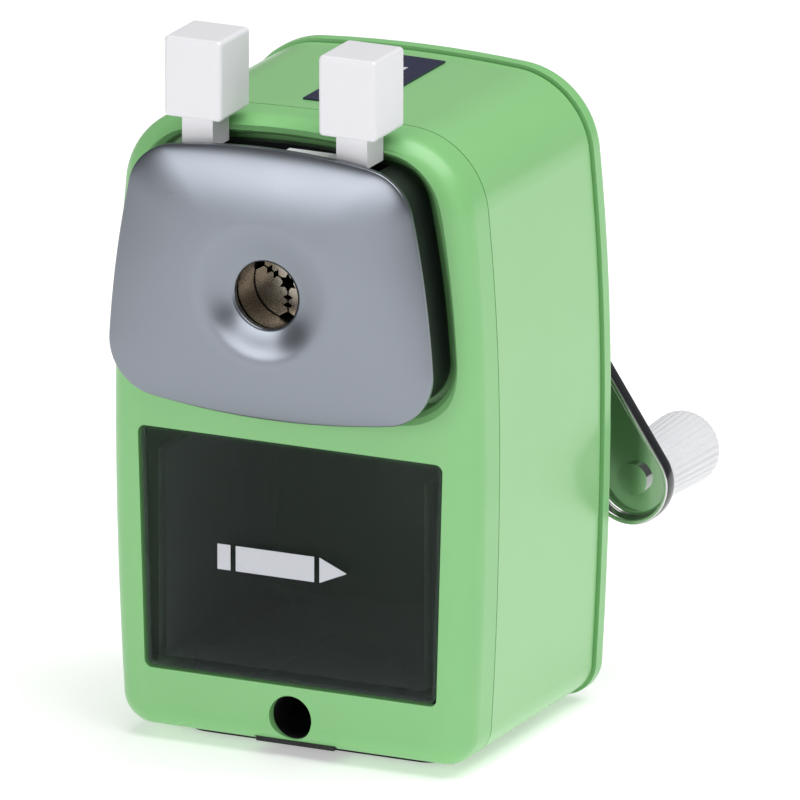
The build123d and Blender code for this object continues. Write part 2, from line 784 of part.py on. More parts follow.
def guide_rods():
    rods = []
    for s in (-1, 1):
        rod = disc(rod_r, s * rod_x, axis_z, chuck_floor_front, rod_rear)
        rod -= tube(rod_r - 0.4, rod_r + 1, s * rod_x, axis_z, rod_rear - 1.8, rod_rear - 1.0)
        rods += [rod - disc(0.9, s * rod_x, axis_z, chuck_floor_front - 1, chuck_floor_front + 5)]
    return rods


def rod_screws():
    head_y = chuck_floor_front - rod_screw_head_h
    tip_y = chuck_floor_front + 4.5
    head = rod_screw_head_r, rod_screw_head_h
    return [screw(s * rod_x, axis_z, head_y, tip_y, 0.88, *head) for s in (-1, 1)]


def rod_clips():
    """Spring clips in the rods' grooves, each open at the bottom."""
    clips = []
    for s in (-1, 1):
        x = s * rod_x
        clip = tube(rod_r - 0.4, rod_r + 1.6, x, axis_z, rod_rear - 1.8, rod_rear - 1.0)
        clips += [clip - block(x - 1.0, x + 1.0, 0, 30, axis_z - 6, axis_z)]
    return clips


def coil(r, wire, y0, y1, turns):
    """A round-wire coil spring along Y about the Y axis, its wire's outside from y0 to y1."""
    length = y1 - y0 - 2 * wire
    path = Helix(pitch=length / turns, height=length, radius=r)
    section = Plane(origin=path @ 0, z_dir=path % 0) * Circle(wire)
    spring = sweep(section, path=path)
    return Pos(0, y1 - wire, 0) * Rot(90, 0, 0) * spring


def return_springs():
    y0 = bracket_rear + 2.8
    y1 = rod_rear - 1.9
    spring = coil(2.35, 0.3, y0, y1, 14)
    return [Pos(s * rod_x, 0, axis_z) * spring for s in (-1, 1)]


def tab_inner_x():
    return button_x - arm_half - 2.2


def lever_spring():
    """A light compression spring that pushes the two pinch levers apart."""
    half = tab_inner_x() - 0.05
    spring = coil(0.85, 0.25, -half, half, 16)
    return Pos(0, right_plate_front - 1.5, tab_z) * Rot(0, 0, 90) * spring


def lever_plate(side, y0, y1):
    """A ring with three slanted slots for the jaw pins and an arm that carries the button."""
    face = Circle(lever_disc_r)
    slots = Sketch()
    for angle in jaw_angles():
        near = jaw_pin_at, radians(angle)
        far = jaw_pin_at + jaw_travel, radians(angle + side * pinch)
        ends = [(r * cos(a), r * sin(a)) for r, a in (near, far)]
        run = sqrt((ends[1][0] - ends[0][0]) ** 2 + (ends[1][1] - ends[0][1]) ** 2)
        lean = degrees(atan2(ends[1][1] - ends[0][1], ends[1][0] - ends[0][0]))
        middle = Pos((ends[0][0] + ends[1][0]) / 2, (ends[0][1] + ends[1][1]) / 2) * Rot(0, 0, lean)
        slot_r = jaw_pin_r + slot_gap
        face += middle * SlotOverall(run + 2 * (slot_r + lever_lobe), 2 * (slot_r + lever_lobe))
        slots += middle * SlotOverall(run + 2 * slot_r, 2 * slot_r)
    inner, outer = button_x - arm_half, button_x + arm_half
    top = arm_top_z - axis_z
    arm = [(6.0, 12.5), (inner, 22.5), (inner, top), (outer, top), (outer, 21.5), (13.2, 7.5)]
    face += polygon([(-side * x, z) for x, z in arm])
    face -= slots
    face -= Circle(nose_r + sleeve_t + 0.25)
    plate = prism(on_axis(0, axis_z) * face, y0, y1)
    tab_x = sorted((-side * tab_inner_x(), -side * (tab_inner_x() + 1.4)))
    tab_front = right_plate_front - 2.6
    plate += block(*tab_x, tab_front, y1, tab_z - tab_half, tab_z + tab_half)
    join = sorted((-side * (tab_inner_x() + 0.2), -side * (inner + 1)))
    return plate + block(*join, y0, y1, tab_z - tab_half, tab_z + tab_half)


def left_lever_plate():
    return lever_plate(1, left_plate_rear - lever_t, left_plate_rear)


def right_lever_plate():
    return lever_plate(-1, right_plate_front, right_plate_rear)


def lever_button(side, plate):
    x = -side * button_x
    front = plate_rim_y
    cube = block(x - button_w / 2, x + button_w / 2, front, front + button_d, button_z, button_z + button_h)
    cube = fillet(cube.edges(), 0.8)
    stem = block(x - stem_w / 2, x + stem_w / 2, stem_front, stem_rear, stem_z, button_z + 1)
    return cube + stem - plate


def left_lever_button():
    return lever_button(1, left_lever_plate())


def right_lever_button():
    tongue_end = button_x - stem_w / 2 + 0.5
    strip = block(1.5, tongue_end, stem_front + 0.5, stem_front + 3.0, stem_z, stem_z + 1.1)
    return lever_button(-1, right_lever_plate()) + (strip - right_lever_plate())


def jaw(angle):
    """A flat jaw with a toothed, blunt tip and a pin that both lever plates drive."""
    tip = jaw_opening
    shoulder = tip + (jaw_half - jaw_tip_half) / tan(radians(60))
    points = [(tip, -jaw_tip_half), (tip, jaw_tip_half), (shoulder, jaw_half)]
    points += [(jaw_end_r, jaw_half), (jaw_end_r, -jaw_half), (shoulder, -jaw_half)]
    face = polygon(points)
    notch = polygon([(-tooth_deep, tooth_half), (tooth_deep, 0.0), (-tooth_deep, -tooth_half)])
    face -= Pos(tip, 0) * notch
    for s in (-1, 1):
        for step in (0.3, 0.68):
            along = jaw_tip_half + step * (jaw_half - jaw_tip_half)
            x = tip + (along - jaw_tip_half) / tan(radians(60))
            face -= Pos(x, s * along) * Rot(0, 0, -s * 30) * notch
    body = prism(on_axis(0, axis_z) * Rot(0, 0, angle) * face, jaw_front, jaw_rear)
    x = jaw_pin_at * cos(radians(angle))
    z = axis_z + jaw_pin_at * sin(radians(angle))
    return body + disc(jaw_pin_r, x, z, right_plate_front - 0.4, jaw_front)


# ================= crank =================
def crank_shaft():
    shaft = disc(shaft_r, 0, axis_z, rear_disc_front, shaft_rear)
    return shaft + tube(shaft_r - 0.5, 4.6, 0, axis_z, body_rear + 2.5, arm_rear - arm_sheet)


def arm_outline(grow=0.0):
    """A teardrop from the shaft to the knob: two circles and their common tangents."""
    big, small = arm_hub_r + grow, arm_knob_r + grow
    lean = atan2(sqrt(arm_length**2 - (big - small) ** 2), big - small)
    quad = []
    for side in (1, -1):
        quad += [(big * cos(lean), side * big * sin(lean))]
    for side in (-1, 1):
        quad += [(arm_length + small * cos(lean), side * small * sin(lean))]
    face = polygon(quad) + Circle(big) + Pos(arm_length, 0) * Circle(small)
    return on_axis(0, axis_z) * Rot(0, 0, arm_angle) * face


def crank_arm():
    solid = prism(arm_outline(), arm_front, arm_rear)
    rear_edges = solid.faces().sort_by(Axis.Y)[-1].edges()
    solid = fillet(rear_edges, 1.6)
    solid -= prism(arm_outline(-arm_sheet), arm_front - 1, arm_rear - arm_sheet)
    solid -= disc(shaft_r, 0, axis_z, arm_front, arm_rear + 1)
    return solid - disc(rivet_r, knob_x, knob_z, arm_front, arm_rear + 1)


def crank_washer():
    return tube(shaft_r + running_gap, 6.5, 0, axis_z, body_rear + 1.5, body_rear + 2.4)


def crank_nut():
    face = RegularPolygon(5.5, 6, major_radius=True)
    nut = prism(on_axis(0, axis_z) * face, arm_rear, shaft_rear - 0.6)
    return nut - disc(shaft_r, 0, axis_z, arm_rear - 1, shaft_rear + 1)


def knob_rivet():
    web = arm_rear - arm_sheet
    head_y = knob_rear - knob_floor
    rivet = disc(rivet_head_r, knob_x, knob_z, web - 1.2, web)
    rivet += disc(rivet_r, knob_x, knob_z, web, head_y + 1.0)
    return rivet + disc(rivet_r + 1.2, knob_x, knob_z, head_y, head_y + 1.0)


def crank_knob():
    """A ribbed grip with a smooth neck, a round end and a stepped bore for the rivet."""
    end = knob_rear
    edges = [
        Polyline(
            (0, end),
            (0, knob_front),
            (knob_neck_r, knob_front),
            (knob_neck_r, knob_front + 1.6),
            (knob_r - 0.7, knob_front + 2.6),
            (knob_r, end - knob_round),
        ),
        ThreePointArc((knob_r, end - knob_round), (knob_r - 1.5, end - 1.2), (knob_r - knob_round, end)),
        Line((knob_r - knob_round, end), (0, end)),
    ]
    profile = make_face(edges)
    knob = revolve(profile, Axis.Y, 360)
    for k in range(knob_flutes):
        a = 2 * pi * k / knob_flutes
        knob -= disc(knob_flute_r, knob_r * cos(a), knob_r * sin(a), knob_front + 3.5, end - knob_round)
    knob = Pos(knob_x, 0, knob_z) * knob
    knob -= disc(rivet_r + running_gap + 0.1, knob_x, knob_z, knob_front - 1, end - knob_floor)
    return knob - disc(rivet_r + 1.5, knob_x, knob_z, end - knob_floor - 0.3, end - knob_floor + 1.3)


# ================= write the pieces =================
makers = [
    front_fascia, side_wrap, rear_cover, rear_cover_screws, base_plate, base_screws, foot_ring, top_label,
    clamp_socket, clamp_socket_screws, shavings_drawer, drawer_rails, mechanism_bracket, bracket_screws,
    ring_gear, ring_gear_screws, carrier_bush, pencil_guide, rod_bushes, shaft_bush, return_springs,
    cutter_carrier, cutter_pin, cutter_pinion, helical_cutter, chuck_faceplate, chuck_housing, chuck_screws,
    nose_sleeve, guide_rods, rod_screws, rod_clips, lever_spring, left_lever_plate, right_lever_plate,
    left_lever_button, right_lever_button, crank_shaft, crank_arm, crank_washer, crank_nut, knob_rivet,
    crank_knob,
]
os.makedirs("parts", exist_ok=True)
for make in makers:
    shape = make()
    if isinstance(shape, list):
        shape = Compound(children=shape)
    export_step(shape, f"parts/{make.__name__}.step")
for name, angle in zip(("jaw_top", "jaw_left", "jaw_right"), jaw_angles()):
    export_step(jaw(angle), f"parts/{name}.step")
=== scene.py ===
from math import acos, atan2, cos, hypot, pi, radians, sin

import bmesh
import bpy
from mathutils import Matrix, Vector


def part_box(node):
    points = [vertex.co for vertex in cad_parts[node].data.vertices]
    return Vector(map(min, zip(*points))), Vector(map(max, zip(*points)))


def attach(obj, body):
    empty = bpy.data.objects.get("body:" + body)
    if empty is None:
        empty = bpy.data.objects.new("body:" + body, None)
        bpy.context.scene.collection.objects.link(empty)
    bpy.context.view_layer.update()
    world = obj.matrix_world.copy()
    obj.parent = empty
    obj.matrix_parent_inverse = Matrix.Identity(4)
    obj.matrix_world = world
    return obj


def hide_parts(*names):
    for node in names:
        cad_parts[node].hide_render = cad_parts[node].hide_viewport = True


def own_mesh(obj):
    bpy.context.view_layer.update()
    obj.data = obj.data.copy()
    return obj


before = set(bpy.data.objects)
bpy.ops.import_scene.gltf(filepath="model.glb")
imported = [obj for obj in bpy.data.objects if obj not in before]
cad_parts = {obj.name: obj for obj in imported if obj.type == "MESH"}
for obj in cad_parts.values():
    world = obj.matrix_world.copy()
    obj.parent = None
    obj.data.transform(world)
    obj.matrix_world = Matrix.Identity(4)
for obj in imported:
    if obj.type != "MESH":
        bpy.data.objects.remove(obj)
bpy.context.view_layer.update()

MM = 0.001

# ---- Painted steel side wrap ---------------------------------------------------------------
# One strip of 1 mm steel, bent to the casing's barrelled section and stove-enamelled apple
# green. It is held between the fascia and the rear cover, with an open seam at each end.


def linear(hex_colour):
    """An sRGB hex colour as linear red, green, blue and full alpha."""
    parts = [int(hex_colour[i : i + 2], 16) / 255 for i in (1, 3, 5)]
    return [c / 12.92 if c <= 0.04045 else ((c + 0.055) / 1.055) ** 2.4 for c in parts] + [1.0]


def add(tree, kind, inputs=None, **settings):
    """Adds a shader node with its settings. An input is a value, or the socket to link from."""
    node = tree.nodes.new(kind)
    for name, value in settings.items():
        setattr(node, name, value)
    for socket, value in (inputs or {}).items():
        if isinstance(value, bpy.types.NodeSocket):
            tree.links.new(value, node.inputs[socket])
        else:
            node.inputs[socket].default_value = value
    return node


def new_material(name, **surface):
    """A material with its shader's plain values set, with its tree, shader and place socket."""
    material = bpy.data.materials.new(name)
    material.use_nodes = True
    tree = material.node_tree
    shader = tree.nodes["Principled BSDF"]
    for socket, value in surface.items():
        shader.inputs[socket.replace("_", " ")].default_value = value
    place = add(tree, "ShaderNodeTexCoord").outputs["Object"]
    return material, tree, shader, place


def finish_with(material, *nodes):
    """Gives CAD pieces, whose shape stays as it is, their finish."""
    for name in nodes:
        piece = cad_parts[name]
        for place in piece.material_slots:
            place.material = material
        if not piece.material_slots:
            piece.data.materials.append(material)


def noise(tree, place, size_mm, detail):
    """Soft noise with features of the given size, as a socket from 0 to 1."""
    inputs = {"Vector": place, "Scale": 1 / (size_mm * MM), "Detail": detail}
    return add(tree, "ShaderNodeTexNoise", inputs).outputs["Fac"]


def two_tone(tree, shader, factor, first, second):
    """Blends two colours into the surface's colour."""
    mix = add(tree, "ShaderNodeMix", {"Factor": factor, "A": first, "B": second}, data_type="RGBA")
    tree.links.new(mix.outputs["Result"], shader.inputs["Base Color"])


def dull_between(tree, shader, value, value_low, value_high, dull_low, dull_high):
    """Turns a socket's spread of values into a spread of roughness."""
    spread = {"Value": value, 1: value_low, 2: value_high, 3: dull_low, 4: dull_high}
    tree.links.new(add(tree, "ShaderNodeMapRange", spread).outputs[0], shader.inputs["Roughness"])


def bump_with(tree, shader, height, strength, depth_mm):
    """Bumps the surface by a socket, to the given depth."""
    inputs = {"Height": height, "Strength": strength, "Distance": depth_mm * MM}
    tree.links.new(add(tree, "ShaderNodeBump", inputs).outputs[0], shader.inputs["Normal"])


def stove_enamel():
    """Baked enamel: an even green under a clear gloss, with orange peel and handling marks."""
    pale, deep = linear("#8CC783"), linear("#86C27E")
    peel_mm, cloud_mm, rub_mm = 0.9, 24.0, 7.0
    gloss = {"Roughness": 0.3, "Coat_Weight": 0.35, "Coat_Roughness": 0.12}
    m, tree, shader, place = new_material("stove_enamel", **gloss)
    two_tone(tree, shader, noise(tree, place, cloud_mm, 3.0), pale, deep)
    dull_between(tree, shader, noise(tree, place, rub_mm, 6.0), 0.2, 0.8, 0.27, 0.33)
    bump_with(tree, shader, noise(tree, place, peel_mm, 2.0), 0.08, 0.05)
    return m


finish_with(stove_enamel(), "side_wrap")

# ---- Front fascia and rear cover -----------------------------------------------------------
# Two injection-moulded ABS shells in the same green, with rounded front edges and a proud rear
# rim. Long screws from behind pull them together over the ends of the wrap.


def gloss_abs(name, pale_hex, deep_hex, roughness, grain_mm=0.5, grain=0.05):
    """Moulded ABS: solid colour, a soft gloss from the mould and a trace of flow and fingermarks."""
    flow_mm, touch_mm = 18.0, 5.0
    m, tree, shader, place = new_material(name, IOR=1.54)
    two_tone(tree, shader, noise(tree, place, flow_mm, 2.0), linear(pale_hex), linear(deep_hex))
    touch = noise(tree, place, touch_mm, 5.0)
    dull_between(tree, shader, touch, 0.2, 0.8, roughness - 0.03, roughness + 0.03)
    bump_with(tree, shader, noise(tree, place, grain_mm, 3.0), grain, 0.04)
    return m


green_abs = gloss_abs("green_abs_moulded", "#86C47F", "#80BF79", 0.3)
finish_with(green_abs, "front_fascia", "rear_cover")

# ---- Base plate, foot ring and screws ------------------------------------------------------
# A zinc-plated steel plate closes the bottom, with a moulded rubber ring stuck under it so that
# the sharpener grips the desk. All the screws are zinc-plated steel with a rolled-in sheen.


def plated_steel(name, hex_colour, roughness, streak_mm=0.25, stretch=(1.0, 1.0, 14.0)):
    """Plated steel: a bright metal with fine drawing lines and slightly cloudy plating."""
    cloud_mm = 3.0
    m, tree, shader, place = new_material(name, Metallic=1.0, Base_Color=linear(hex_colour))
    spacing = [1 / (streak_mm * MM * s) for s in stretch]
    drawn = add(tree, "ShaderNodeMapping", {"Vector": place, "Scale": spacing})
    lines = add(tree, "ShaderNodeTexNoise", {"Vector": drawn.outputs[0], "Scale": 1.0, "Detail": 3.0})
    cloud = noise(tree, place, cloud_mm, 4.0)
    both = add(tree, "ShaderNodeMath", {0: lines.outputs["Fac"], 1: cloud}, operation="ADD")
    dull_between(tree, shader, both.outputs[0], 0.7, 1.3, roughness * 0.75, roughness * 1.35)
    bump_with(tree, shader, lines.outputs["Fac"], 0.1, 0.02)
    return m


def rubber():
    """Moulded rubber: near black, matt, with a fine pebble from the mould."""
    pebble_mm = 0.6
    m, tree, shader, place = new_material("moulded_rubber", Base_Color=linear("#1C1D1E"), Roughness=0.85)
    pebble = add(tree, "ShaderNodeTexVoronoi", {"Vector": place, "Scale": 1 / (pebble_mm * MM)})
    bump_with(tree, shader, pebble.outputs["Distance"], 0.3, 0.1)
    return m


zinc_plate = plated_steel("zinc_plated_steel", "#B9BCBE", 0.32)
bright_steel = plated_steel("bright_drawn_steel", "#C9C8C5", 0.2, stretch=(1.0, 16.0, 1.0))
finish_with(zinc_plate, "base_plate", "base_screws", "rear_cover_screws", "clamp_socket_screws")
finish_with(zinc_plate, "bracket_screws", "ring_gear_screws", "chuck_screws", "rod_screws")
finish_with(zinc_plate, "mechanism_bracket")
finish_with(rubber(), "foot_ring")

# ---- Clamp socket --------------------------------------------------------------------------
# A die-cast zinc block behind the round hole at the foot of the fascia. The rod of a table
# clamp slides into it. Its bore is deep and unlit, so the block's colour is darkened near black as painted
# shade.


def die_cast(name, hex_colour, roughness):
    """Die-cast zinc alloy: dull grey metal with a slightly rippled, sandy cast skin."""
    sand_mm, ripple_mm = 0.4, 4.0
    m, tree, shader, place = new_material(name, Metallic=0.9, Base_Color=linear(hex_colour))
    ripple = noise(tree, place, ripple_mm, 2.0)
    dull_between(tree, shader, ripple, 0.3, 0.7, roughness - 0.08, roughness + 0.08)
    bump_with(tree, shader, noise(tree, place, sand_mm, 4.0), 0.25, 0.06)
    return m


# The clamp socket's near-black colour is painted shade for its deep, unlit bore.
finish_with(die_cast("die_cast_zinc_painted_shade", "#3A3B3C", 0.6), "clamp_socket")
finish_with(die_cast("die_cast_zinc", "#8E9092", 0.45), "cutter_carrier")

# ---- Shavings drawer -----------------------------------------------------------------------
# A clear smoked polystyrene bin whose front fills the window in the fascia. Its walls carry
# light along their thickness; that paler glow at the edges is painted light in the colour.


def smoked_styrene():
    """Clear smoked polystyrene: dark seen square on, denser along its cut edges, where painted light makes
    it paler.
    """
    edge, face = linear("#8B9C93"), linear("#121A1A")
    edge_cover, face_cover = 0.5, 0.3
    scuff_mm = 25.0
    m, tree, shader, place = new_material("smoked_polystyrene", IOR=1.5, Specular_IOR_Level=0.3)
    facing = add(tree, "ShaderNodeTexCoord").outputs["Normal"]
    apart = add(tree, "ShaderNodeSeparateXYZ", {0: facing})
    square_on = add(tree, "ShaderNodeMath", {0: apart.outputs["Y"]}, operation="ABSOLUTE").outputs[0]
    # Painted light: faces turned away from the front take the paler edge colour, the glow the walls carry.
    two_tone(tree, shader, square_on, edge, face)
    see = add(tree, "ShaderNodeMapRange", {"Value": square_on, 3: edge_cover, 4: face_cover})
    tree.links.new(see.outputs[0], shader.inputs["Alpha"])
    dull_between(tree, shader, noise(tree, place, scuff_mm, 8.0), 0.3, 0.8, 0.05, 0.09)
    return m


finish_with(smoked_styrene(), "shavings_drawer")

# ---- Inside the casing ---------------------------------------------------------------------
# Black nylon guide and rails, sintered bronze bushes, a natural nylon ring gear and the milled
# tool-steel cutter roll. They are seen through the drawer and the pencil hole only.

black_nylon = gloss_abs("black_nylon", "#16181A", "#1B1D1F", 0.42, grain_mm=0.4, grain=0.15)
finish_with(black_nylon, "pencil_guide", "drawer_rails")
finish_with(gloss_abs("natural_nylon", "#D9D5C8", "#CFCABA", 0.45), "ring_gear")
finish_with(plated_steel("sintered_bronze", "#A5804E", 0.4), "carrier_bush", "rod_bushes", "shaft_bush")
finish_with(plated_steel("milled_tool_steel", "#8B8D90", 0.28), "helical_cutter", "cutter_pinion")
finish_with(bright_steel, "cutter_pin", "guide_rods", "rod_clips", "left_lever_plate", "right_lever_plate")

# ---- Return springs and lever spring -------------------------------------------------------
# Music wire wound close: two long springs on the guide rods pull the chuck home, and a small
# one behind the faceplate pushes the two pinch levers apart.


def mesh_piece(name, verts, faces, material, smooth=True):
    """A new mesh object in the scene."""
    data = bpy.data.meshes.new(name)
    data.from_pydata([Vector(v) for v in verts], [], faces)
    data.materials.append(material)
    data.polygons.foreach_set("use_smooth", [smooth] * len(data.polygons))
    data.update()
    piece = bpy.data.objects.new(name, data)
    bpy.context.scene.collection.objects.link(piece)
    return piece


def strips(rows, columns, closed=True):
    """The quads between neighbouring rows of a grid of vertices."""
    faces = []
    for i in range(rows - 1):
        for j in range(columns if closed else columns - 1):
            k = (j + 1) % columns
            faces.append((i * columns + j, i * columns + k, (i + 1) * columns + k, (i + 1) * columns + j))
    return faces


def coil_wire(name, start, along, length, coil_r, wire_r, turns, material, sides=10, per_turn=28):
    """A round wire on a helix from start, about the direction along, with closed ends."""
    along = Vector(along).normalized()
    u = along.orthogonal().normalized()
    v = along.cross(u)
    steps = turns * per_turn
    verts = []
    for i in range(steps + 1):
        f = i / steps
        a = 2 * pi * turns * f
        out = u * cos(a) + v * sin(a)
        rise = wire_r + (length - 2 * wire_r) * f
        centre = Vector(start) + along * rise + out * coil_r
        for s in range(sides):
            b = 2 * pi * s / sides
            verts.append(centre + out * (wire_r * cos(b)) + along * (wire_r * sin(b)))
    faces = strips(steps + 1, sides)
    faces.append(tuple(range(sides - 1, -1, -1)))
    faces.append(tuple(steps * sides + s for s in range(sides)))
    return mesh_piece(name, verts, faces, material)


spring_wire = plated_steel("music_wire", "#A9ABAD", 0.24)
low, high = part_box("return_springs")
rod_x = (high.x - low.x) / 2 - (high.z - low.z) / 2
length = high.y - low.y
coil_r, wire_r, turns = 2.35 * MM, 0.3 * MM, 14
for side, label in ((-1, "left"), (1, "right")):
    start = (side * rod_x, low.y, (low.z + high.z) / 2)
    name = f"{label}_return_spring"
    spring = coil_wire(name, start, (0, 1, 0), length, coil_r, wire_r, turns, spring_wire)
    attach(spring, "housing")
    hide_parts("return_springs")
    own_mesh(spring)

low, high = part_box("lever_spring")
middle = (low + high) / 2
start = (low.x, middle.y, middle.z)
length = high.x - low.x
coil_r, wire_r, turns = 0.85 * MM, 0.25 * MM, 16
spring = coil_wire("pinch_spring", start, (1, 0, 0), length, coil_r, wire_r, turns, spring_wire, sides=8)
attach(spring, "chuck")
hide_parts("lever_spring")
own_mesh(spring)

# ---- Chuck housing -------------------------------------------------------------------------
# The black moulded box behind the faceplate. It slides out on two rods and holds the jaws and
# the lever plates. Only its sides and roof show, between the faceplate and the fascia.

black_abs = gloss_abs("black_abs_moulded", "#121416", "#191B1D", 0.3)
finish_with(black_abs, "chuck_housing")

# ---- Faceplate -----------------------------------------------------------------------------
# Pressed steel with satin chrome: a soft pillow, with a funnel pressed back into its middle to
# lead the pencil in, and an edge rolled back over the housing.


def outline_of(node):
    """The outer edge of a flat-backed CAD node as seen from the front, as a hull of (x, z) points."""
    points = sorted({(round(v.co.x, 6), round(v.co.z, 6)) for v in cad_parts[node].data.vertices})
    hull = []
    for way in (points, points[::-1]):
        part = []
        for p in way:
            while len(part) > 1 and (
                (part[-1][0] - part[-2][0]) * (p[1] - part[-2][1])
                <= (part[-1][1] - part[-2][1]) * (p[0] - part[-2][0])
            ):
                part.pop()
            part.append(p)
        hull += part[:-1]
    return hull


def reach(hull, x0, z0, angle):
    """How far the hull's edge is from (x0, z0) in one direction."""
    dx, dz = cos(angle), sin(angle)
    for (ax, az), (bx, bz) in zip(hull, hull[1:] + hull[:1]):
        ex, ez = bx - ax, bz - az
        cross = dx * ez - dz * ex
        if abs(cross) < 1e-12:
            continue
        t = ((ax - x0) * ez - (az - z0) * ex) / cross
        s = ((ax - x0) * dz - (az - z0) * dx) / cross
        if t > 0 and -1e-6 <= s <= 1 + 1e-6:
            return t
    return 0.0


def ease(t):
    """A step from 0 to 1 that starts and ends level."""
    t = min(max(t, 0.0), 1.0)
    return t * t * t * (t * (6 * t - 15) + 10)


def faceplate(material):
    """Rows of points from the rolled edge, over the pillow and down the funnel to the hole."""
    around, over, roll_rows, throat_rows = 240, 56, 5, 4
    roll, throat, sheet = 0.9 * MM, 0.9 * MM, 0.8 * MM
    low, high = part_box("chuck_faceplate")
    sleeve_low, sleeve_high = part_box("nose_sleeve")
    hull = outline_of("chuck_faceplate")
    x0, z0 = (sleeve_low.x + sleeve_high.x) / 2, (sleeve_low.z + sleeve_high.z) / 2
    rim_y = high.y - roll
    crest = rim_y - low.y - 0.1 * MM
    hole_r, hole_y = 6.1 * MM, high.y - 2.0 * MM
    funnel_r = 14.5 * MM
    half_w, half_h = (high.x - low.x) / 2, (high.z - low.z) / 2
    turns = [2 * pi * j / around for j in range(around)]
    edges = [reach(hull, x0, z0, a) for a in turns]
    ovals = [half_w * half_h / hypot(half_h * cos(a), half_w * sin(a)) for a in turns]
    verts = []
    for step in range(roll_rows):
        y = high.y - (high.y - rim_y) * step / roll_rows
        verts += [(x0 + e * cos(a), y, z0 + e * sin(a)) for a, e in zip(turns, edges)]
    for step in range(over + 1):
        share = 1 - (step / over) ** 1.4
        like_edge = share**1.6
        for a, edge, oval in zip(turns, edges, ovals):
            full = edge * like_edge + oval * (1 - like_edge)
            r = hole_r + (full - hole_r) * share
            pillow = rim_y - crest * max(1 - (r / full) ** 2.6, 0.0) ** 0.75
            y = hole_y + (pillow - hole_y) * ease((r - hole_r * 0.55) / (funnel_r - hole_r * 0.55))
            verts.append((x0 + r * cos(a), y, z0 + r * sin(a)))
    last = verts[-around:]
    for step in range(1, throat_rows + 1):
        verts += [(x, y + throat * step / throat_rows, z) for x, y, z in last]
    plate = mesh_piece("faceplate_pressing", verts, strips(len(verts) // around, around), material)
    thick = plate.modifiers.new("sheet", "SOLIDIFY")
    thick.thickness = sheet
    thick.offset = -1.0
    return plate


def satin_chrome():
    """Satin chrome over a blasted surface: a bright, cool metal that spreads highlights softly."""
    blast_mm, haze_mm = 0.12, 9.0
    m, tree, shader, place = new_material("satin_chrome", Metallic=1.0, Base_Color=linear("#858A92"))
    dull_between(tree, shader, noise(tree, place, haze_mm, 5.0), 0.2, 0.8, 0.27, 0.3)
    bump_with(tree, shader, noise(tree, place, blast_mm, 2.0), 0.06, 0.02)
    return m


plate = faceplate(satin_chrome())
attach(plate, "chuck")
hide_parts("chuck_faceplate")

# ---- Nose sleeve and jaws ------------------------------------------------------------------
# Turned and stamped steel with nickel plating, slightly warm and worn where pencils rub. The
# three toothed jaws close on the pencil and are drawn apart by pins in the lever plates.

nickel = plated_steel("nickel_plate", "#A39A8D", 0.25, streak_mm=0.3, stretch=(1.0, 8.0, 1.0))
finish_with(nickel, "nose_sleeve", "jaw_top", "jaw_left", "jaw_right")

# ---- Pinch levers --------------------------------------------------------------------------
# White ABS finger buttons moulded over the steel lever arms, with a glossy skin and small
# radii on every edge. Squeezing them together opens the jaws.

white_abs = gloss_abs("white_abs_moulded", "#E4E4E7", "#DFDFE3", 0.3, grain_mm=0.35, grain=0.04)
finish_with(white_abs, "left_lever_button", "right_lever_button")

# ---- Crank arm -----------------------------------------------------------------------------
# A teardrop pressed from 1 mm steel with a rim folded towards the casing. It is bright plated
# all over; its outside is coloured gloss near-black as a painted dark reflection of the plating.


def teardrop(hub, tip, hub_r, tip_r, grow, count):
    """Evenly spread points round two circles and their common tangents, as (x, z)."""
    dx, dz = tip[0] - hub[0], tip[1] - hub[1]
    heading = atan2(dz, dx)
    lean = acos((hub_r - tip_r) / hypot(dx, dz))
    shares = [4 * i / count for i in range(count // 4)]

    def on(centre, radius, angle):
        return centre[0] + (radius + grow) * cos(angle), centre[1] + (radius + grow) * sin(angle)

    def straight(angle, first, last):
        (ax, az), (bx, bz) = on(*first, angle), on(*last, angle)
        return [(ax * (1 - f) + bx * f, az * (1 - f) + bz * f) for f in shares]

    round_hub = [on(hub, hub_r, heading + lean + (2 * pi - 2 * lean) * f) for f in shares]
    down = straight(heading - lean, (hub, hub_r), (tip, tip_r))
    round_tip = [on(tip, tip_r, heading - lean + 2 * lean * f) for f in shares]
    back = straight(heading + lean, (tip, tip_r), (hub, hub_r))
    return round_hub + down + round_tip + back


